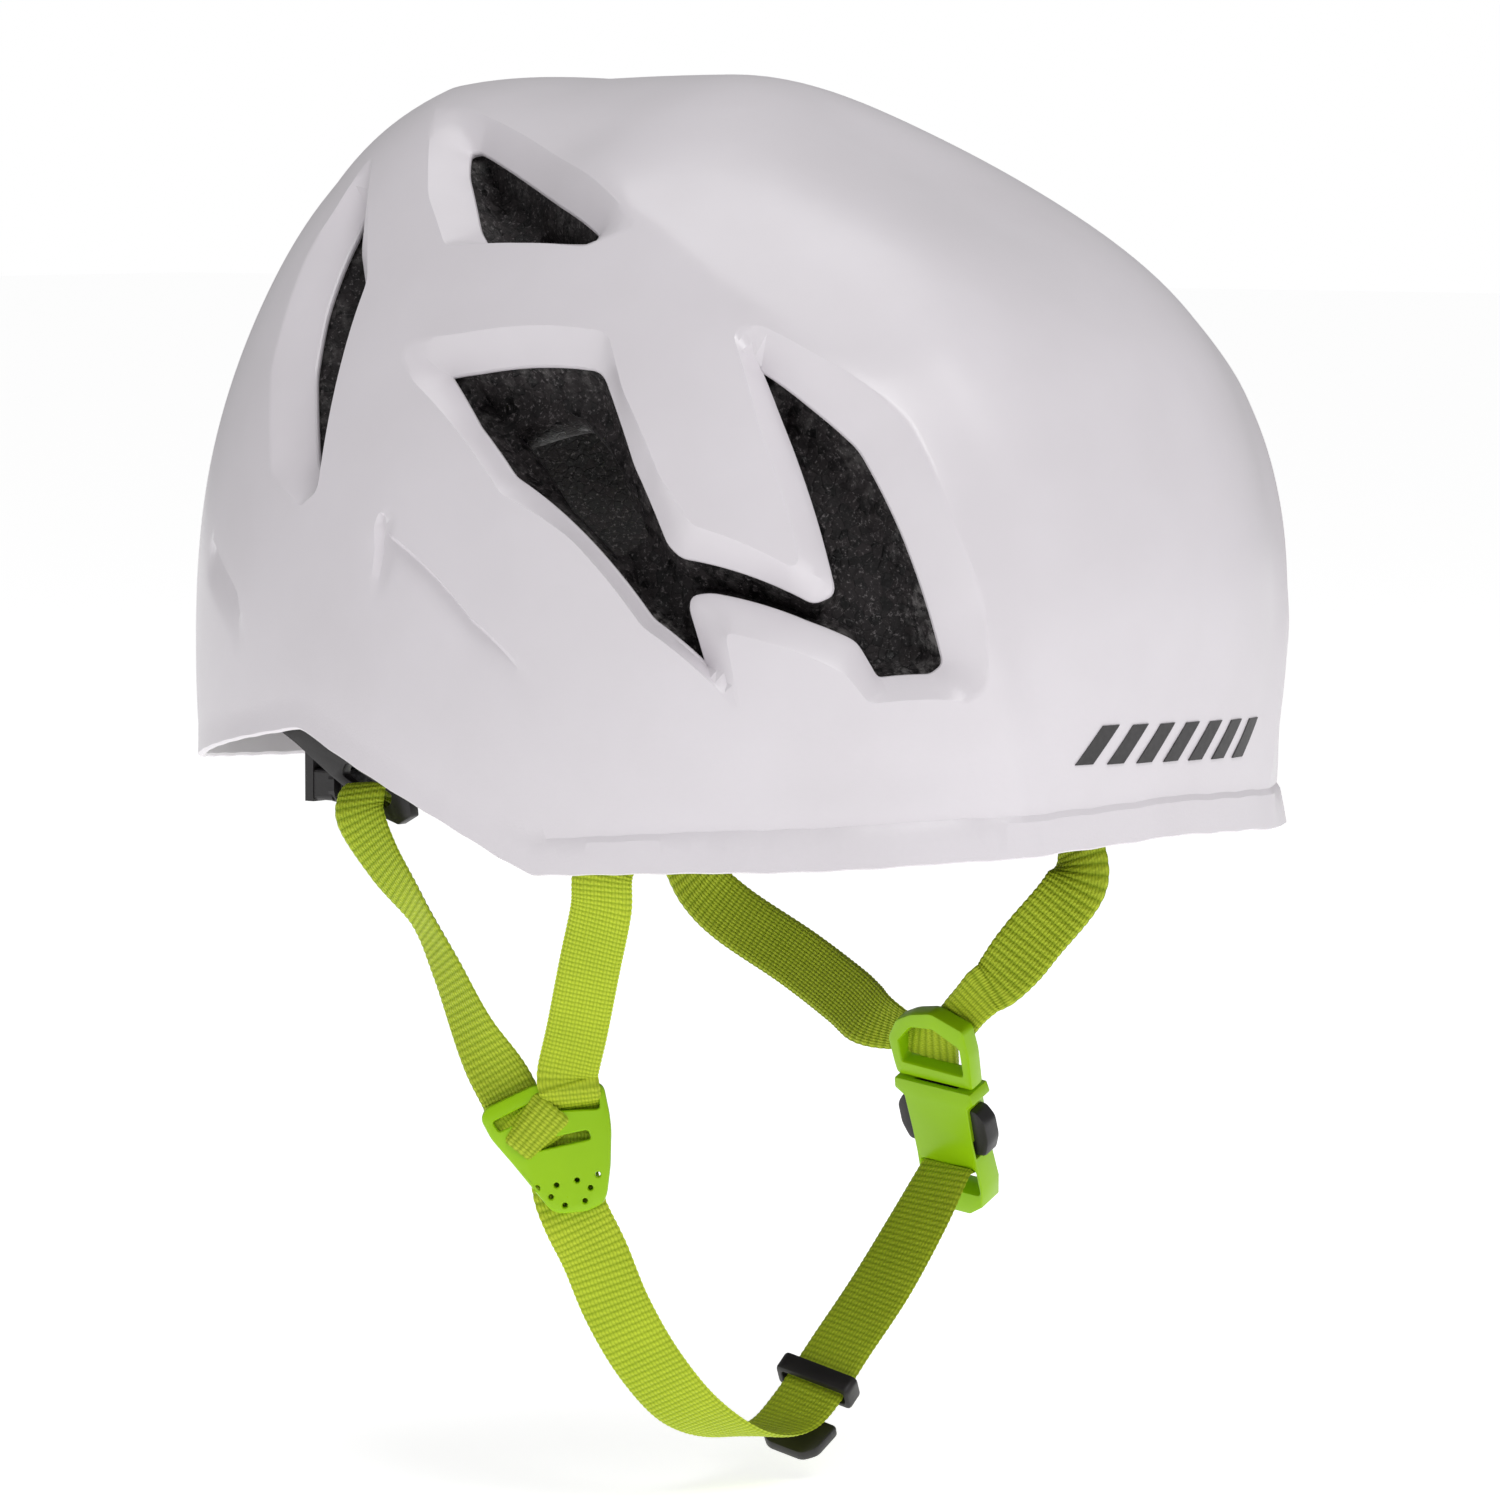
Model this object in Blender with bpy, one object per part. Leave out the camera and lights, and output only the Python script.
"""Climbing helmet: a vented hard shell over a foam liner, with a folding rear cradle,
strap wings, a Y-strap divider on the right and a side-release buckle on the left.

Frame: metres, +Z up, the wearer looks along -Y, the wearer's right is -X.
The origin is the middle of the head cavity, at the height of the forehead.
"""

from math import cos, pi, radians, sin

import bmesh
import bpy
import numpy as np
from mathutils import Matrix, Vector
from mathutils.geometry import delaunay_2d_cdt

MM = 0.001

# Radius of the shell from the origin, in mm, at seven heights given as elevation angles.
LEVELS = (-20, 0, 18, 36, 54, 72, 90)
FRONT = (138, 137, 141, 141, 133, 134, 142)
SIDE = (118, 112, 113, 120, 130, 137, 142)
REAR = (147, 145, 150, 156, 160, 148, 142)
FRONT_SQUARENESS = 2.3
REAR_SQUARENESS = 2.1

SHELL_THICKNESS = 2.2
RECESS_DEPTH = 5.5
SHELL_TO_LINER = 1.0
POCKET_DEPTH = 12.0
LINER_THICKNESS = 21.5
LINER_EDGE = 12.0
MAP_STEP = 7.0

# Outlines on the shell's right side as (azimuth from the front, elevation), in degrees.
RIM = (
    (0, -15), (30, -16), (52, -18), (74, -21), (79, -19.5), (112, -6.5), (128, -8.5), (147, -11),
    (180, -12.5),
)
LINER_RIM = (
    (0, -12), (30, -13), (52, -14.5), (74, -17), (84, -12), (104, -1), (122, 3), (150, 5),
    (180, 5),
)
CROWN_VENT = (
    (131, 62), (130, 63.2), (117.6, 63.8), (90.7, 60.7), (75, 55), (76, 53.6), (101, 53),
    (107, 55), (123, 60),
)
CROWN_RECESS = (
    (146, 61), (140, 64), (115, 66.3), (84, 61.8), (66, 52.3), (75, 50.8), (106, 50.5), (119, 55),
)
REAR_VENT = (
    (141, 51), (132.5, 47.5), (121, 43), (116.5, 22.5), (120, 23.8), (128, 33.7), (132.3, 39.8),
    (136, 45.3),
)
REAR_RECESS = (
    (145, 54), (131, 50.5), (119, 44.5), (113.5, 21), (116.5, 18.8), (124.6, 21.4), (127, 24.7),
    (133.5, 32), (140, 43),
)
SIDE_VENT = (
    (97.6, 37.7), (91.7, 38.6), (69.6, 38), (67.9, 36.9), (62.2, 26.1), (57.4, 16.7),
    (55.8, 15.2), (41.2, 9.6),
    (39.2, 10.4), (40.8, 17.4), (44.7, 29.6), (46.9, 35.2), (40.6, 30), (35.7, 25.1), (32, 16.8),
    (27.8, 2.7),
    (29.2, 1.5), (34.9, 1.2), (37.1, 5.1), (42, 7.3), (52.4, 10.6), (54.4, 10.4), (54.6, 9.2),
    (52.5, 2.4), (59.4, 7.9),
    (80.9, 25.4), (88.9, 31.6),
)
SIDE_RECESS = (
    (104, 39.2), (94.3, 40.9), (67.4, 40), (64.1, 33.2), (58.3, 22.9), (54.6, 17.8), (43.8, 12.8),
    (43, 13.5),
    (43.9, 17.6), (46.9, 27), (50.1, 37.8), (46.8, 38), (41.6, 34.6), (31.2, 26.2), (28, 16.7),
    (25, 8), (24.8, 0.6),
    (26.5, -0.8), (36.3, -1), (38.6, 2), (50.8, 6.4), (49.2, -2), (60, 7), (69.4, 16.9),
    (80.5, 22.4), (100.1, 35), (104, 37.4),
)
CROWN_HOLE = ((104, 62), (90, 59.5), (80, 56), (99, 55.3))
SIDE_HOLE = ((88, 34), (74, 36), (68, 31), (61, 19), (66, 16), (76, 24))
CROWN_PAD = ((0, 70), (45, 66), (90, 71), (135, 68), (180, 62))
SIDE_PAD = ((72, 6), (74, 22), (112, 22), (114, 8))

# Rear cradle, in mm.
CRADLE_HALF_WIDTH = 80.0
CRADLE_DEPTH = 106.0
CRADLE_PIVOT = (80.0, 12.0, -10.0)
CRADLE_BAND = (16.0, 2.0)
ADJUSTER_HEIGHT = -14.0
HOUSING = (46.0, 25.0)
KNOB_RADIUS = 13.0
KNOB_FLUTES = 40
KNOB_FLUTE_DEPTH = 0.7
PINION_TEETH = 10
PINION_PITCH_RADIUS = 4.5
TOOTH_HEIGHT = 1.8

# Strap wings, in mm: the hinge, the plate and how far each side hangs at rest, in degrees.
WING_PIVOT = (82.8, 85.0, -4.0)
WING_THICKNESS = 3.0
WING_HANG = {"right": 25.5, "left": 96.0}

# Webbing, in mm.
WEBBING = (16.5, 1.4)
DIVIDER_PLACE = ((-72, -6.5, -114), (-0.76, -0.645, 0.05), (0.0, 0.0, 1.0))
BUCKLE_PLACE = ((69.5, -11.1, -118.0), (-0.900, 0.016, -0.435), (-0.434, -0.126, 0.892))
CHIN_RISE = (0.76, -0.01, 0.65)
SLIDER_PLACE = ((20.5, -9.7, -181.2), CHIN_RISE, (0.56, 0.32, -0.74))

COLOURS = {
    "shell": ((0.80, 0.78, 0.82), 0.32),
    "foam": ((0.02, 0.02, 0.02), 0.85),
    "padding": ((0.04, 0.04, 0.045), 0.95),
    "black": ((0.02, 0.02, 0.022), 0.45),
    "green": ((0.33, 0.70, 0.03), 0.35),
    "webbing": ((0.38, 0.55, 0.03), 0.80),
    "acetal": ((0.75, 0.74, 0.70), 0.35),
    "steel": ((0.55, 0.55, 0.57), 0.30),
}


def material(name):
    made = bpy.data.materials.get(name)
    if made:
        return made
    made = bpy.data.materials.new(name)
    made.use_nodes = True
    colour, roughness = COLOURS[name]
    shader = made.node_tree.nodes["Principled BSDF"]
    shader.inputs["Base Color"].default_value = (*colour, 1)
    shader.inputs["Roughness"].default_value = roughness
    shader.inputs["Metallic"].default_value = 1.0 if name == "steel" else 0.0
    return made


def solid(name, verts, faces, finish, origin=(0, 0, 0), smooth=True):
    """A named mesh object from points in mm, with its own origin, its faces turned outwards."""
    mesh = bpy.data.meshes.new(name)
    origin = Vector(origin)
    mesh.from_pydata([(Vector(v) - origin) * MM for v in verts], [], faces)
    turned = bmesh.new()
    turned.from_mesh(mesh)
    bmesh.ops.recalc_face_normals(turned, faces=turned.faces)
    turned.to_mesh(mesh)
    turned.free()
    if smooth:
        mesh.shade_smooth()
        mesh.set_sharp_from_angle(angle=radians(32))
    mesh.materials.append(material(finish))
    made = bpy.data.objects.new(name, mesh)
    made.location = origin * MM
    bpy.context.scene.collection.objects.link(made)
    return made


def boolean(target, tool, operation):
    modifier = target.modifiers.new(tool.name, "BOOLEAN")
    modifier.operation = operation
    modifier.object = tool
    tool.hide_render = True
    tool.display_type = "WIRE"


def empty(name, place, parent=None):
    made = bpy.data.objects.new(name, None)
    made.location = Vector(place) * MM
    made.empty_display_size = 0.01
    bpy.context.scene.collection.objects.link(made)
    if parent:
        adopt(made, parent)
    return made


def adopt(child, parent):
    bpy.context.view_layer.update()
    child.parent = parent
    child.matrix_parent_inverse = parent.matrix_world.inverted()


# ---------------------------------------------------------------- shell surface


def curvatures(values):
    """Second derivatives of a cubic curve through the levels, free below and level at the crown."""
    steps = np.diff(np.array(LEVELS, float))
    count = len(values)
    rows = np.zeros((count, count))
    right = np.zeros(count)
    slopes = np.diff(np.array(values, float)) / steps
    rows[0, 0] = 1
    for i in range(1, count - 1):
        rows[i, i - 1 : i + 2] = steps[i - 1], 2 * (steps[i - 1] + steps[i]), steps[i]
        right[i] = 6 * (slopes[i] - slopes[i - 1])
    rows[-1, -2:] = steps[-1], 2 * steps[-1]
    right[-1] = -6 * slopes[-1]
    return np.linalg.solve(rows, right)


PROFILES = {values: curvatures(values) for values in (FRONT, SIDE, REAR)}


def profile(values, elevation):
    bends = PROFILES[values]
    i = min(max(int(np.searchsorted(LEVELS, elevation)) - 1, 0), len(LEVELS) - 2)
    step = LEVELS[i + 1] - LEVELS[i]
    b = (elevation - LEVELS[i]) / step
    a = 1 - b
    bend = ((a**3 - a) * bends[i] + (b**3 - b) * bends[i + 1]) * step * step / 6
    return a * values[i] + b * values[i + 1] + bend


def ease(low, high, value):
    t = min(max((value - low) / (high - low), 0.0), 1.0)
    return t * t * (3 - 2 * t)


def shell_radius(azimuth, elevation):
    """Distance of the shell's outer surface from the origin, without its vent recesses."""
    ahead = cos(radians(azimuth))
    aside = sin(radians(azimuth))
    squareness = FRONT_SQUARENESS if ahead > 0 else REAR_SQUARENESS
    squareness += (2 - squareness) * ease(30, 90, elevation)
    length = profile(FRONT if ahead > 0 else REAR, elevation)
    width = profile(SIDE, elevation)
    radius = (abs(ahead / length) ** squareness + abs(aside / width) ** squareness) ** (-1 / squareness)
    ridge = max(0.0, 1 - abs(elevation - 61) / 13) * ease(95, 150, abs(azimuth))
    return radius + 4.0 * ridge


def flat(azimuth, elevation):
    """The point of the flat map of the shell, in degrees from the crown, seen from above."""
    spread = 90 - elevation
    return np.array((-spread * sin(radians(azimuth)), -spread * cos(radians(azimuth))))


def raised(point, inset):
    """The point in mm under a point of the flat map, inset from the shell's smooth surface."""
    spread = float(np.hypot(*point))
    azimuth = np.degrees(np.arctan2(-point[0], -point[1]))
    elevation = 90 - spread
    radius = shell_radius(azimuth, elevation) - inset
    across = radius * cos(radians(elevation))
    return (
        -sin(radians(azimuth)) * across,
        -cos(radians(azimuth)) * across,
        radius * sin(radians(elevation)),
    )


def outline(points, mirrored=False):
    sign = -1 if mirrored else 1
    return np.array([flat(sign * azimuth, elevation) for azimuth, elevation in points])


def both_sides(points):
    """A closed loop from a half outline that runs from the front to the rear on the right."""
    inner = [(-azimuth, elevation) for azimuth, elevation in points if 0 < azimuth < 180]
    return list(points) + inner[::-1]


def spaced(loop, spacing):
    """The closed loop with its long edges divided."""
    out = []
    for a, b in zip(loop, np.roll(loop, -1, axis=0)):
        parts = max(1, round(float(np.hypot(*(b - a))) / spacing))
        out += [a + (b - a) * i / parts for i in range(parts)]
    return np.array(out)


def finer(points, step):
    """A half outline with a point at least every step degrees of azimuth."""
    out = []
    for a, b in zip(points, points[1:]):
        parts = max(1, int(np.ceil(abs(b[0] - a[0]) / step)))
        out += [tuple(np.add(a, np.subtract(b, a) * i / parts)) for i in range(parts)]
    return out + [points[-1]]


def within(point, loop):
    x, y = point
    crossed = False
    for (ax, ay), (bx, by) in zip(loop, np.roll(loop, -1, axis=0)):
        if (ay > y) != (by > y) and x < (bx - ax) * (y - ay) / (by - ay) + ax:
            crossed = not crossed
    return crossed


def distance(point, loop):
    ends = np.roll(loop, -1, axis=0)
    edges = ends - loop
    along = ((point - loop) * edges).sum(1) / (edges * edges).sum(1)
    near = loop + np.clip(along, 0, 1)[:, None] * edges
    return float(np.hypot(*(point - near).T).min())


VENTS = [
    (outline(hole, mirrored), outline(recess, mirrored))
    for mirrored in (False, True)
    for hole, recess in ((CROWN_VENT, CROWN_RECESS), (REAR_VENT, REAR_RECESS), (SIDE_VENT, SIDE_RECESS))
]


def sunk(point):
    """How far into a vent recess a point lies: 0 outside, 1 at the vent's edge."""
    for hole, recess in VENTS:
        if within(point, hole):
            return 1.0
        if within(point, recess) or distance(point, recess) < 1e-6:
            to_hole = distance(point, hole)
            to_recess = distance(point, recess)
            return to_recess / (to_hole + to_recess)
    return 0.0


def kept_faces(flats, faces, rim, holes):
    """The triangles inside the rim and outside its holes, without slivers along straight edges."""
    kept = []
    for face in faces:
        a, b, c = (flats[i] for i in face)
        area = abs((b[0] - a[0]) * (c[1] - a[1]) - (b[1] - a[1]) * (c[0] - a[0])) / 2
        middle = (a + b + c) / 3
        if area > 1e-4 and within(middle, rim) and not any(within(middle, hole) for hole in holes):
            kept.append(tuple(face))
    return kept


def curved_plate(name, rim, holes, lines, outer, inner, spacing, finish):
    """A closed plate that follows the shell: outer and inner give the inset at a map point."""
    loops = [spaced(rim, spacing)] + [spaced(line, spacing) for line in holes + lines]
    reach = int(np.abs(rim).max() / spacing) + 2
    points = [point for loop in loops for point in loop]
    edges = []
    start = 0
    for loop in loops:
        edges += [(start + i, start + (i + 1) % len(loop)) for i in range(len(loop))]
        start += len(loop)
    for row in range(-reach, reach + 1):
        for column in range(-reach, reach + 1):
            point = np.array((column + 0.5 * (row % 2), row * 0.87)) * spacing
            if within(point, rim) and min(distance(point, loop) for loop in loops) > 0.5 * spacing:
                points.append(point)
    made = delaunay_2d_cdt([Vector(point) for point in points], edges, [], 0, 1e-5)
    flats = [np.array(vertex) for vertex in made[0]]
    kept = kept_faces(flats, made[2], rim, holes)
    used = sorted({i for face in kept for i in face})
    place = {old: new for new, old in enumerate(used)}
    top = [tuple(place[i] for i in face) for face in kept]
    count = len(used)
    verts = [raised(flats[i], outer(flats[i])) for i in used]
    verts += [raised(flats[i], inner(flats[i])) for i in used]
    sides = {}
    for face in top:
        for a, b in zip(face, face[1:] + face[:1]):
            if (b, a) in sides:
                del sides[(b, a)]
            else:
                sides[(a, b)] = True
    faces = top + [tuple(i + count for i in face[::-1]) for face in top]
    faces += [(b, a, a + count, b + count) for a, b in sides]
    return solid(name, verts, faces, finish)


def outer_shell():
    rim = outline(both_sides(finer(RIM, 6)))

    def outer(point):
        flare = max(0.0, 1 - distance(point, rim) / 3.0) * ease(30, 0, point[1])
        return RECESS_DEPTH * sunk(point) - 1.6 * flare

    def inner(point):
        return outer(point) + SHELL_THICKNESS

    holes = [hole for hole, recess in VENTS]
    recesses = [recess for hole, recess in VENTS]
    return curved_plate("outer_shell", rim, holes, recesses, outer, inner, MAP_STEP, "shell")


def eps_liner():
    rim = outline(both_sides(finer(LINER_RIM, 8)))

    def outer(point):
        return SHELL_THICKNESS + SHELL_TO_LINER + POCKET_DEPTH * sunk(point)

    def inner(point):
        edge = ease(0, 14, distance(point, rim))
        return SHELL_THICKNESS + SHELL_TO_LINER + LINER_EDGE + (LINER_THICKNESS - LINER_EDGE) * edge

    holes = [outline(hole, mirrored) for hole in (CROWN_HOLE, SIDE_HOLE) for mirrored in (False, True)]
    lines = [line for vent in VENTS for line in vent]
    return curved_plate("eps_liner", rim, holes, lines, outer, inner, MAP_STEP, "foam")


# ---------------------------------------------------------------- fitting inside the cavity

CAVITY = SHELL_THICKNESS + SHELL_TO_LINER + LINER_THICKNESS


def strip(low, high, reach, step=10):
    """The map outline of a band across the front, between two elevations."""
    turns = range(-reach, reach + 1, step)
    return np.array([flat(a, low) for a in turns] + [flat(a, high) for a in reversed(turns)])


def padding():
    def level(depth):
        return lambda point: CAVITY + depth

    crown = outline(both_sides(CROWN_PAD))
    curved_plate("crown_pad", crown, [], [], level(1.7), level(7), 8, "padding")
    for side, mirrored in (("right", False), ("left", True)):
        shape = outline(SIDE_PAD, mirrored)
        curved_plate("side_pad_" + side, shape, [], [], level(1.0), level(5.5), 8, "padding")
    curved_plate("front_headband", strip(-6, 7, 70), [], [], level(1.0), level(3.0), 8, "black")
    curved_plate("front_pad", strip(-5, 5, 50), [], [], level(3.4), level(8.4), 8, "padding")


# ---------------------------------------------------------------- flat plates and ribbons


def axes(normal, up):
    """A rotation whose columns are across, up and outward normal."""
    normal = Vector(normal).normalized()
    up = Vector(up)
    up = (up - up.dot(normal) * normal).normalized()
    across = up.cross(normal)
    return Matrix((across, up, normal)).transposed()


def extruded(name, shape, holes, low, high, place, finish):
    """A flat plate from an outline in mm, pierced by holes, placed by (centre, normal, up)."""
    centre, normal, up = place
    turn = axes(normal, up)
    loops = [np.array(loop, float) for loop in [shape] + list(holes)]
    points = [Vector(point) for loop in loops for point in loop]
    edges = []
    start = 0
    for loop in loops:
        edges += [(start + i, start + (i + 1) % len(loop)) for i in range(len(loop))]
        start += len(loop)
    made = delaunay_2d_cdt(points, edges, [], 0, 1e-6)
    flats = made[0]
    kept = kept_faces([np.array(point) for point in flats], made[2], loops[0], loops[1:])
    count = len(flats)
    verts = [Vector(centre) + turn @ Vector((p[0], p[1], z)) for z in (high, low) for p in flats]
    faces = kept + [tuple(i + count for i in face[::-1]) for face in kept]
    for start, end in made[1]:
        owners = [face for face in kept if start in face and end in face]
        if len(owners) == 1:
            faces.append((start, end, end + count, start + count))
    return solid(name, verts, faces, finish, centre)


def arc(centre, radius, start, end, steps):
    """Points on an arc, angles in degrees, both ends included."""
    turns = [radians(start + (end - start) * i / steps) for i in range(steps + 1)]
    return [(centre[0] + radius * cos(t), centre[1] + radius * sin(t)) for t in turns]


def circle(centre, radius, steps=16):
    return arc(centre, radius, 0, 360, steps)[:-1]


def rounded_box(width, height, radius, centre=(0, 0), steps=3):
    w = width / 2 - radius
    h = height / 2 - radius
    x, y = centre
    corners = ((w, h, 0), (-w, h, 90), (-w, -h, 180), (w, -h, 270))
    return [point for a, b, turn in corners for point in arc((x + a, y + b), radius, turn, turn + 90, steps)]


def smooth_path(points, per_span):
    """A Catmull-Rom curve through the points."""
    p = [np.array(point, float) for point in points]
    p = [2 * p[0] - p[1]] + p + [2 * p[-1] - p[-2]]
    out = []
    for i in range(1, len(p) - 2):
        for k in range(per_span):
            t = k / per_span
            out.append(
                0.5
                * (
                    2 * p[i]
                    + (p[i + 1] - p[i - 1]) * t
                    + (2 * p[i - 1] - 5 * p[i] + 4 * p[i + 1] - p[i + 2]) * t * t
                    + (3 * p[i] - p[i - 1] - 3 * p[i + 1] + p[i + 2]) * t**3
                )
            )
    return out + [p[-2]]


def ribbon(name, stations, width, thickness, finish, per_span=4, origin=(0, 0, 0)):
    """A flat band through stations of (place, facing normal)."""
    places = smooth_path([place for place, facing in stations], per_span)
    facings = smooth_path([facing for place, facing in stations], per_span)
    verts = []
    for i, (place, facing) in enumerate(zip(places, facings)):
        ahead = places[min(i + 1, len(places) - 1)] - places[max(i - 1, 0)]
        ahead /= np.linalg.norm(ahead)
        facing = facing - facing.dot(ahead) * ahead
        facing /= np.linalg.norm(facing)
        across = np.cross(ahead, facing)
        for a, b in ((-1, -1), (1, -1), (1, 1), (-1, 1)):
            verts.append(place + across * a * width / 2 + facing * b * thickness / 2)
    faces = []
    for i in range(len(places) - 1):
        for k in range(4):
            a = 4 * i + k
            b = 4 * i + (k + 1) % 4
            faces.append((a, b, b + 4, a + 4))
    faces += [(3, 2, 1, 0), tuple(len(verts) - 4 + k for k in range(4))]
    return solid(name, verts, faces, finish, origin)


def cylinder(name, centre, radius, length, axis, finish, segments=20):
    turn = axes(axis, (0, 0, 1) if abs(axis[2]) < 0.9 else (0, 1, 0))
    verts = []
    for z in (-length / 2, length / 2):
        for point in circle((0, 0), radius, segments):
            verts.append(Vector(centre) + turn @ Vector((*point, z)))
    sides = [(i, (i + 1) % segments, (i + 1) % segments + segments, i + segments) for i in range(segments)]
    ends = [tuple(range(segments))[::-1], tuple(range(segments, 2 * segments))]
    return solid(name, verts, sides + ends, finish, centre)


# ---------------------------------------------------------------- rear cradle


def cradle(parent):
    """The band round the nape, hinged on a pin at each temple."""
    first = np.arcsin(CRADLE_PIVOT[1] / CRADLE_DEPTH) - radians(6)
    stations = []
    for i in range(13):
        turn = first + (pi - 2 * first) * i / 12
        place = (CRADLE_HALF_WIDTH * cos(turn), CRADLE_DEPTH * sin(turn), CRADLE_PIVOT[2] - 4 * sin(turn))
        outward = (cos(turn) / CRADLE_HALF_WIDTH, sin(turn) / CRADLE_DEPTH, 0)
        stations.append((place, tuple(100 * part for part in outward)))
    band = ribbon("cradle_band", stations, *CRADLE_BAND, "black", 3, CRADLE_PIVOT)
    for side, sign in (("right", -1), ("left", 1)):
        x, y, z = CRADLE_PIVOT
        drill = cylinder("cradle_drill_" + side, (sign * x, y, z), 2.6, 14, (1, 0, 0), "steel")
        boolean(band, drill, "DIFFERENCE")
        plate = cylinder("cradle_pin_" + side, (sign * (x + 4.2), y, z), 7, 2, (1, 0, 0), "black")
        pin = cylinder("cradle_stub_" + side, (sign * (x + 0.5), y, z), 2.2, 7, (1, 0, 0), "black")
        boolean(plate, pin, "UNION")
        adopt(drill, parent)
    adopt(band, parent)
    return band


def toothed(radius_at, teeth, phase=0.0):
    """A gear outline: trapezoid teeth that are thin enough to run clear."""
    out = []
    pitch = 2 * pi / teeth
    for i in range(teeth):
        middle = i * pitch + phase
        for offset, radius in ((-0.26, 0), (-0.12, 1), (0.12, 1), (0.26, 0)):
            turn = middle + offset * pitch
            out.append((radius_at[radius] * cos(turn), radius_at[radius] * sin(turn)))
    return out


def adjuster(parent, knob_parent):
    """The dial housing behind the band, with a pinion that draws two racks together."""
    y = CRADLE_DEPTH + 1.3
    place = ((0, y, ADJUSTER_HEIGHT), (0, 1, 0), (0, 0, 1))
    wide, high = HOUSING
    shape = rounded_box(wide, high, 4)
    housing = extruded("adjuster_housing", shape, [], 0, 7.4, place, "black")
    tunnel = extruded("rack_tunnel", rounded_box(wide + 8, 18.4, 0.4), [], 1.6, 5.6, place, "black")
    mouth = extruded("pinion_mouth", circle((0, 0), 6.2), [], 5, 9, place, "black")
    cover_shape = rounded_box(wide - 4, high - 2, 4)
    cover = extruded("adjuster_cover", cover_shape, [circle((0, 0), 4.4)], 7.7, 9.3, place, "black")
    boolean(housing, tunnel, "DIFFERENCE")
    boolean(housing, mouth, "DIFFERENCE")
    grip = []
    for i in range(KNOB_FLUTES):
        radius = KNOB_RADIUS - KNOB_FLUTE_DEPTH * (i % 2)
        grip.append((radius * cos(2 * pi * i / KNOB_FLUTES), radius * sin(2 * pi * i / KNOB_FLUTES)))
    knob = extruded("adjuster_knob", grip, [circle((0, 0), 2.2)], 9.8, 17, place, "black")
    tips = (PINION_PITCH_RADIUS - TOOTH_HEIGHT / 2, PINION_PITCH_RADIUS + TOOTH_HEIGHT / 2)
    pinion = extruded("pinion", toothed(tips, PINION_TEETH), [circle((0, 0), 1.6)], 2.2, 5.2, place, "acetal")
    shaft = cylinder("pinion_shaft", (0, y + 7.1, ADJUSTER_HEIGHT), 3.2, 4.8, (0, 1, 0), "acetal")
    bore = cylinder("pinion_bore", (0, y + 6, ADJUSTER_HEIGHT), 1.6, 14, (0, 1, 0), "acetal")
    boolean(pinion, shaft, "UNION")
    boolean(pinion, bore, "DIFFERENCE")
    screw = cylinder("knob_screw", (0, y + 10.2, ADJUSTER_HEIGHT), 1.3, 15, (0, 1, 0), "steel", 12)
    head = cylinder("knob_screw_head", (0, y + 18.1, ADJUSTER_HEIGHT), 3.4, 1.6, (0, 1, 0), "steel", 16)
    boolean(screw, head, "UNION")
    for piece in (housing, tunnel, mouth, cover):
        adopt(piece, parent)
    for piece in (knob, pinion, shaft, bore, screw, head):
        adopt(piece, knob_parent)
    return place


def rack(side, place, parent):
    """One toothed strip, with the arm that carries its half of the nape padding."""
    sign = 1 if side == "left" else -1
    pitch = 2 * pi * PINION_PITCH_RADIUS / PINION_TEETH
    root = PINION_PITCH_RADIUS + TOOTH_HEIGHT / 2 + 0.25
    tip = PINION_PITCH_RADIUS - TOOTH_HEIGHT / 2 + 0.25
    # The pinion has a gap straight up and straight down, where each strip has its middle tooth.
    teeth = []
    for i in range(-5, 6):
        middle = i * pitch
        for offset, height in ((-0.26, root), (-0.12, tip), (0.12, tip), (0.26, root)):
            teeth.append((middle + offset * pitch, height))
    teeth = [point for point in teeth if abs(point[0]) < 14]
    shape = [(-16, root), *teeth, (33, root), (33, root + 3.2), (-16, root + 3.2)]
    shape = [(sign * x, sign * z) for x, z in shape]
    low, high = 2.2, 5.0
    toothed_strip = extruded("rack_" + side, shape, [], low, high, place, "black")
    arm_high = root + 3.2 if side == "left" else -root
    arm_low = -26.0
    arm = [(sign * 29, arm_high), (sign * 35, arm_high), (sign * 35, arm_low), (sign * 29, arm_low)]
    riser = extruded("rack_riser_" + side, arm, [], low, high, place, "black")
    foot_shape = rounded_box(26, 9, 3, (sign * 22, -21.6))
    foot = extruded("rack_foot_" + side, foot_shape, [], -5.0, -3.0, place, "black")
    bridge_shape = rounded_box(5.6, 8, 1, (sign * 32, -21.6))
    bridge = extruded("rack_bridge_" + side, bridge_shape, [], -4.0, 4.0, place, "black")
    for piece in (riser, foot, bridge):
        boolean(toothed_strip, piece, "UNION")
        adopt(piece, parent)
    pad = extruded("nape_pad_" + side, foot_shape, [], -10.0, -5.3, place, "padding")
    for piece in (toothed_strip, pad):
        adopt(piece, parent)


# ---------------------------------------------------------------- wings


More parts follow.
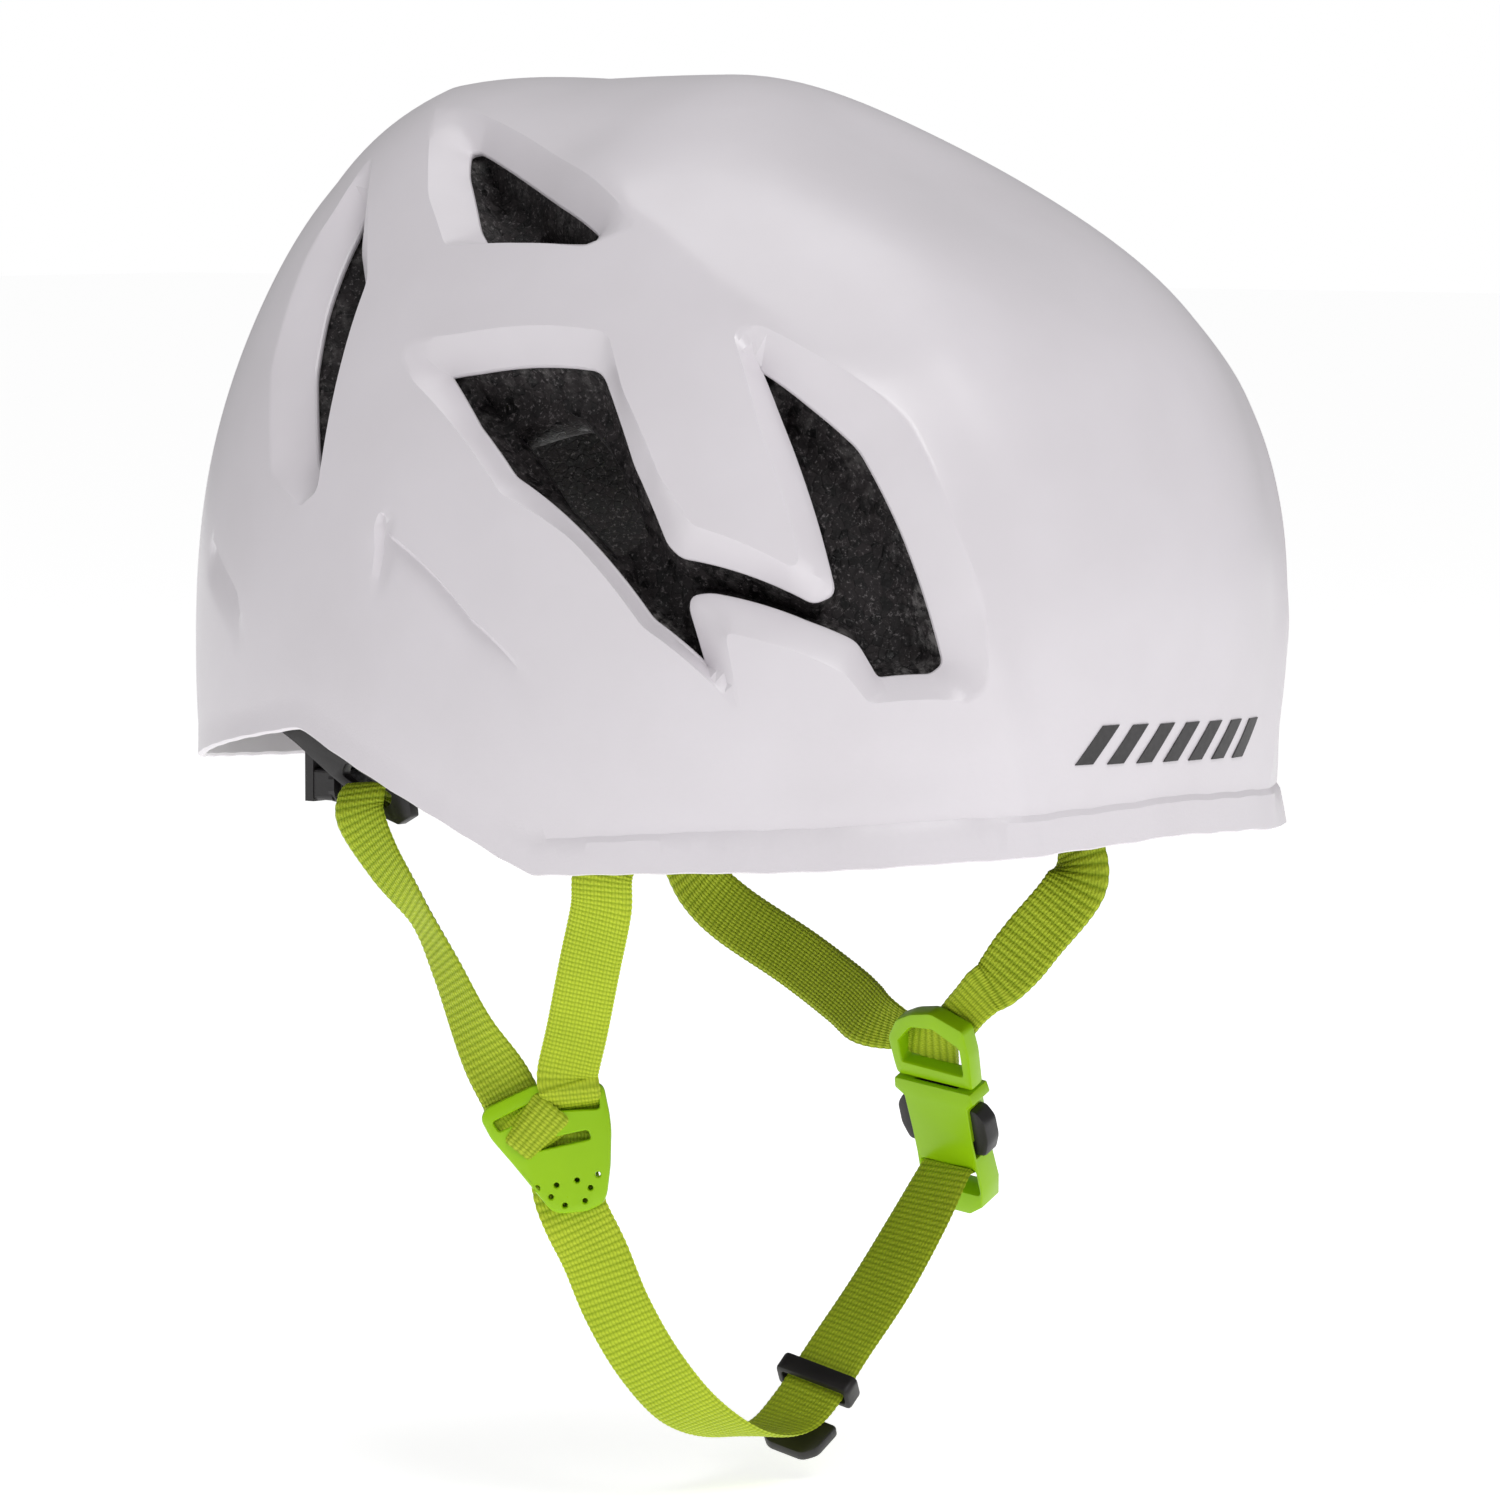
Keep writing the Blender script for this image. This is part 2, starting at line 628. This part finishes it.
def wing(side, parent):
    """A flat arm on a pin, with a slot that guides the rear strap."""
    sign = -1 if side == "right" else 1
    x, y, z = WING_PIVOT
    hang = radians(WING_HANG[side])
    forward = (0, -cos(hang), -sin(hang))
    across = Vector(forward).cross(Vector((1, 0, 0)))
    place = ((sign * x, y, z), (1, 0, 0), across)
    # In the plate's own axes the arm runs along its first axis, away from the hinge.
    shape = [*arc((0, 0), 6.5, 90, 270, 8), (22, -7.5), (36, -9), (54, -10), (60, -9), (63, -5),
        (60, -0.5)]
    shape += [(52, 2.5), (36, 5), (20, 5.5)]
    slot = rounded_box(17, 3.4, 1.2, (47, -5.2))
    eye = circle((0, 0), 2.6)
    half = WING_THICKNESS / 2
    turned = [[(-u, v) for u, v in loop] for loop in (shape, slot, eye)]
    towards = axes(place[1], place[2])
    if (towards @ Vector((1, 0, 0))).dot(Vector(forward)) > 0:
        turned = [shape, slot, eye]
    made = extruded("wing_" + side, turned[0], turned[1:], -half, half, place, "black")
    post = cylinder("wing_post_" + side, (sign * x, y, z), 2.2, 5.8, (1, 0, 0), "black")
    flange = cylinder("wing_flange_" + side, (sign * (x + 2.4), y, z), 4.4, 1.2, (1, 0, 0), "black")
    washer = cylinder("wing_rivet_" + side, (sign * (x - 2.4), y, z), 4.2, 1.2, (1, 0, 0), "black")
    boolean(post, flange, "UNION")
    boolean(post, washer, "UNION")
    adopt(made, parent)
    return made


# ---------------------------------------------------------------- straps and their hardware


def straps():
    """The four branches and the chin strap, each from its anchor to its fitting."""
    width, thick = WEBBING
    outward = (-0.76, -0.645, 0.05)
    right_front = [
        ((-82.8, -36.8, -32.0), (-0.91, -0.41, 0)),
        ((-89.4, -35.7, -43.4), (-0.90, -0.43, 0)),
        ((-87.4, -33.0, -53.6), (-0.85, -0.52, 0)),
        ((-82.3, -25.0, -67.6), (-0.80, -0.60, 0)),
        ((-76.1, -15.5, -84.3), outward),
        ((-72.1, -9.0, -95.9), outward),
    ]
    left_front = [
        ((82.8, -37.2, -32.4), (0.91, -0.41, 0)),
        ((84.6, -44.0, -43.0), (0.97, -0.10, 0.1)),
        ((76.7, -47.2, -58.3), (0.90, 0.30, 0.3)),
        ((67.7, -39.8, -73.1), (0.88, 0.35, 0.3)),
        ((62.8, -33.5, -83.0), (0.90, 0.25, 0.3)),
        ((60.4, -29.4, -86.8), (0.92, 0.15, 0.3)),
    ]
    right_rear = [
        ((-89.2, 42.2, -37.4), (-0.98, -0.17, 0)),
        ((-87.6, 36.2, -46.7), (-0.96, 0.2, 0)),
        ((-85.8, 26.7, -58.3), (-0.84, 0.53, 0)),
        ((-84.4, 19.0, -71.3), (-0.93, 0.35, 0)),
        ((-82.4, 11.8, -86.3), (-0.99, 0.0, 0)),
        ((-80.6, 5.4, -96.3), outward),
    ]
    left_rear = [
        ((87.2, 98.0, -53.0), (0.99, 0.05, 0.05)),
        ((87.6, 92.5, -60.0), (0.97, 0.03, -0.10)),
        ((87.4, 86.0, -68.5), (0.95, 0.02, -0.25)),
        ((86.6, 74.0, -76.0), (0.90, 0.0, -0.42)),
        ((81.5, 48.0, -85.0), (0.86, 0.0, -0.50)),
        ((72.0, 24.0, -92.0), (0.86, -0.02, -0.50)),
        ((61.6, 4.0, -97.0), (0.88, -0.05, -0.45)),
    ]
    start = Vector(SLIDER_PLACE[0])
    rise = Vector(CHIN_RISE).normalized()
    inward = tuple(SLIDER_PLACE[2])
    chin = [
        ((-68.0, -8.2, -131.0), outward),
        ((-62.8, -9.3, -140.2), (-0.74, -0.66, -0.1)),
        ((-55.5, -10.2, -154.3), (-0.72, -0.62, -0.2)),
        ((-45.2, -11.5, -168.8), (-0.62, -0.60, -0.45)),
        ((-30.6, -11.6, -181.7), (-0.40, -0.50, -0.75)),
        ((-13.2, -11.2, -189.5), (-0.05, -0.20, -0.98)),
        ((2.4, -10.6, -190.6), (0.30, 0.10, -0.95)),
        (tuple(start - 8 * rise), inward),
        (tuple(start + 12 * rise), inward),
        (tuple(start + 32 * rise), inward),
        ((60.3, -9.6, -145.6), (0.62, 0.20, -0.72)),
        ((70.7, -9.4, -134.4), (0.80, 0.05, -0.55)),
    ]
    ribbon("front_strap_right", right_front, width, thick, "webbing")
    ribbon("front_strap_left", left_front, width, thick, "webbing")
    ribbon("rear_strap_right", right_rear, width, thick, "webbing")
    ribbon("rear_strap_left", left_rear, width, thick, "webbing")
    ribbon("chin_strap", chin, width, thick, "webbing")


def strap_anchors():
    """A slotted tab for each front strap, on the liner's inner wall."""
    for side, sign in (("right", -1), ("left", 1)):
        place = ((sign * 82.0, -36.8, -21), (sign * 0.91, -0.41, 0), (0, 0, 1))
        slot = rounded_box(17, 2.6, 0.8, (0, -4))
        extruded("strap_anchor_" + side, rounded_box(22, 15, 3), [slot], -1.2, 1.2, place, "black")


def divider():
    """The plate on the right where the two branches meet the chin strap."""
    shape = [(-19, 7.2), (-18, 9.8), (-6.2, 15.5), (8.4, 16.3), (10.4, 15.1), (11.8, 8.4),
        (12.2, 4.5), (12, -3.9)]
    shape += [(11.2, -10.6), (10.2, -12.8), (6.5, -14.6), (0.5, -15.3), (-2.2, -14.6),
        (-4.2, -12.2), (-11.3, -3.5)]
    shape += [(-16.5, 2.5)]
    front_slot = [(-4.4, 12.4), (9.2, 12.8), (9.4, 9.8), (-3.6, 9.2)]
    rear_slot = [(-16.2, 6.6), (-6.2, 11.6), (-5.0, 9.0), (-14.6, 4.2)]
    chin_slot = [(-10, 1.2), (6.6, 4.8), (7.4, 2.6), (-8.8, -1.0)]
    slots = [front_slot, rear_slot, chin_slot]
    return extruded("divider_right", shape, slots, -1.6, 1.6, DIVIDER_PLACE, "green")


def buckle(parent):
    """A side-release buckle: a frame with a tongue, and a socket with two buttons."""
    frame = [(-11.9, 9.3), (-12.3, 12.3), (-12.7, 20.1), (-9, 26), (-3.8, 28.8), (2.9, 30.5),
        (12.5, 27), (13, 20)]
    frame += [(11.9, 9.3)]
    window = [(-9.6, 13.6), (9.6, 13.2), (10, 21.5), (2.5, 25.6), (-4.5, 24.6), (-9.4, 19.6)]
    male = extruded("buckle_frame", frame, [window], -2.4, 2.4, BUCKLE_PLACE, "green")
    tongue_shape = rounded_box(12.4, 19.0, 1.5, (0, -0.9))
    tongue = extruded("buckle_tongue", tongue_shape, [], -1.5, 1.5, BUCKLE_PLACE, "black")
    half = [(4, -29), (8.5, -26), (9.8, -20), (9.4, -13), (9.4, -6), (9.8, 4.0), (12.4, 6), (11.9, 9)]
    body = half + [(-u, v) for u, v in reversed(half)]
    chin_slot = rounded_box(17.4, 8.0, 1.2, (0, -18.5))
    socket = extruded("buckle_socket", body, [chin_slot], -3.8, 3.8, BUCKLE_PLACE, "green")
    cavity_shape = rounded_box(13.6, 22, 0.5, (0, -0.2))
    cavity = extruded("socket_cavity", cavity_shape, [], -2.1, 2.1, BUCKLE_PLACE, "green")
    window_shape = rounded_box(40, 15, 0.5, (0, -3.7))
    windows = extruded("socket_windows", window_shape, [], -3.0, 3.0, BUCKLE_PLACE, "green")
    boolean(socket, cavity, "DIFFERENCE")
    boolean(socket, windows, "DIFFERENCE")
    for piece in (socket, cavity, windows):
        adopt(piece, parent)
    return male, tongue, socket


def button(side, parent):
    """A press button in the socket's side, which stands a little proud of it."""
    sign = -1 if side == "right" else 1
    shape = [(sign * u, v) for u, v in ((8.4, 3.2), (11.6, 3.0), (13.8, 0), (13.8, -6),
        (12, -10.4), (8.4, -10.6))]
    made = extruded("buckle_button_" + side, shape, [], -2.6, 2.6, BUCKLE_PLACE, "black")
    adopt(made, parent)
    return made


def slider(parent):
    """The ladder slide on the chin strap, and the tab at the strap's free end."""
    slot = rounded_box(17.6, 4.0, 0.8)
    made = extruded("strap_slider", rounded_box(21.0, 7.6, 1.6), [slot], -2.6, 2.6, SLIDER_PLACE, "black")
    adopt(made, parent)
    tab_place = ((14.5, -7.6, -194.0), (-0.56, -0.32, 0.74), (0.76, -0.01, 0.65))
    tab = [(-9, 5.5), (9, 5.5), (8, -3), (5, -6), (-5, -6), (-8, -3)]
    extruded("strap_end_tab", tab, [], -1.6, 1.6, tab_place, "black")


def main():
    for old in list(bpy.data.objects):
        bpy.data.objects.remove(old)
    outer_shell()
    eps_liner()
    padding()
    hinge = empty("cradle_axis", (0, *CRADLE_PIVOT[1:]))
    cradle(hinge)
    dial = empty("knob_axis", (0, CRADLE_DEPTH, ADJUSTER_HEIGHT), hinge)
    place = adjuster(hinge, dial)
    for side in ("right", "left"):
        rack(side, place, hinge)
        sign = -1 if side == "right" else 1
        wing(side, empty("wing_axis_" + side, (sign * WING_PIVOT[0], *WING_PIVOT[1:])))
    straps()
    strap_anchors()
    divider()
    release = empty("buckle_axis", BUCKLE_PLACE[0])
    buckle(release)
    for side in ("right", "left"):
        button(side, release)
    slider(empty("slider_axis", SLIDER_PLACE[0]))


main()
